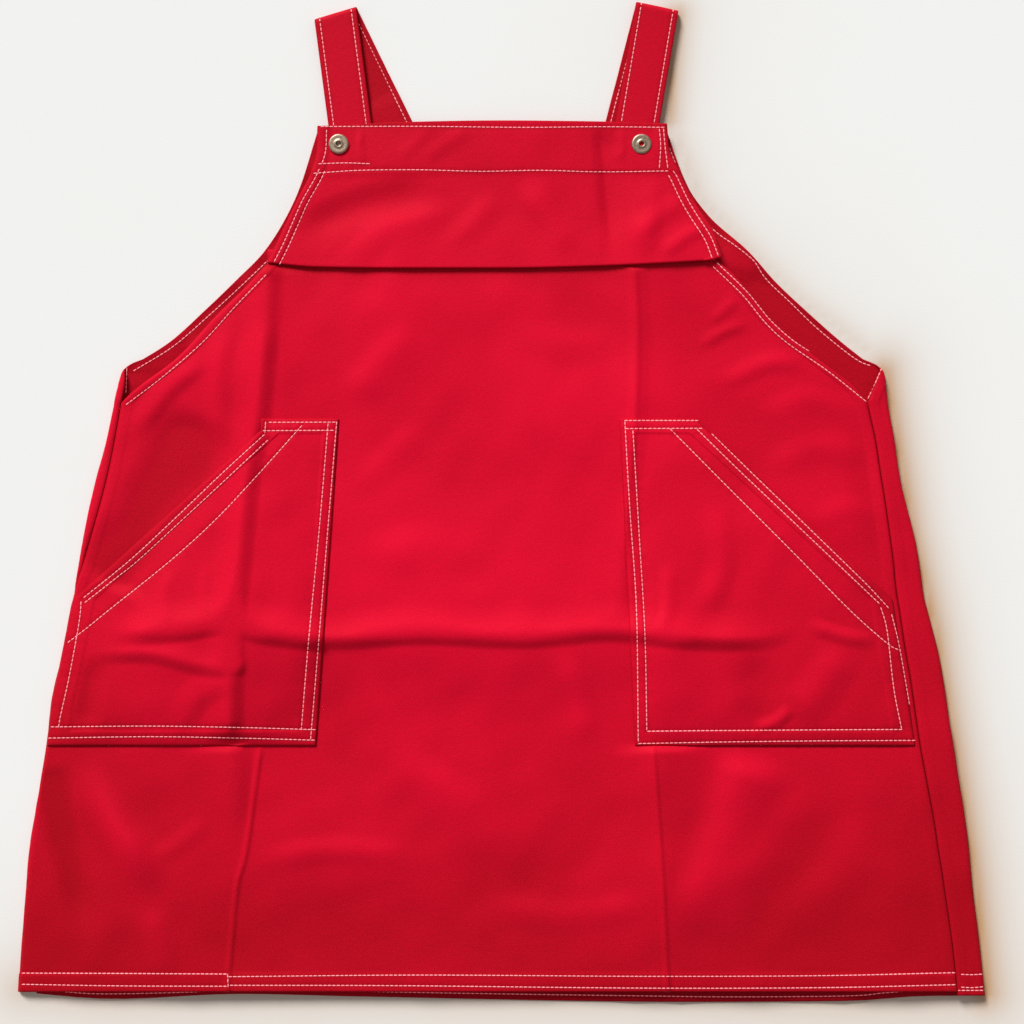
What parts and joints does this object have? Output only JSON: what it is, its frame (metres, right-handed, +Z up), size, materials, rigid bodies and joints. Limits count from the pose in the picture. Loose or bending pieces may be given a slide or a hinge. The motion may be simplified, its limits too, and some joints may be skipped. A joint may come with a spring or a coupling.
{
  "type": "nylon pinafore apron",
  "caption": "Pinafore apron of red nylon laid out flat, with a bib, a back panel joined at the sides, folded-over shoulder straps held by tack buttons, and large slant pockets.",
  "frame": {"origin": "middle of the laid-out apron's box, on the surface that it lies on", "axes": "+Z up off the surface, +Y from the hem to the shoulder straps, +X to the right as it is seen from above, the wearer's left"},
  "size_m": [0.822, 0.8506, 0.0184],
  "materials": {
    "nylon": "woven, soft sheen",
    "button_metal": "antique, worn bright on the raised ring",
    "tack_metal": "plain"
  },
  "bodies": {
    "root": {"front_panel": "nylon", "back_panel": "nylon", "pocket_left": "nylon", "pocket_right": "nylon", "strap_left": "nylon", "strap_right": "nylon", "button_left": "button_metal", "button_right": "button_metal", "tack_left": "tack_metal", "tack_right": "tack_metal"}
  },
  "joints": []
}
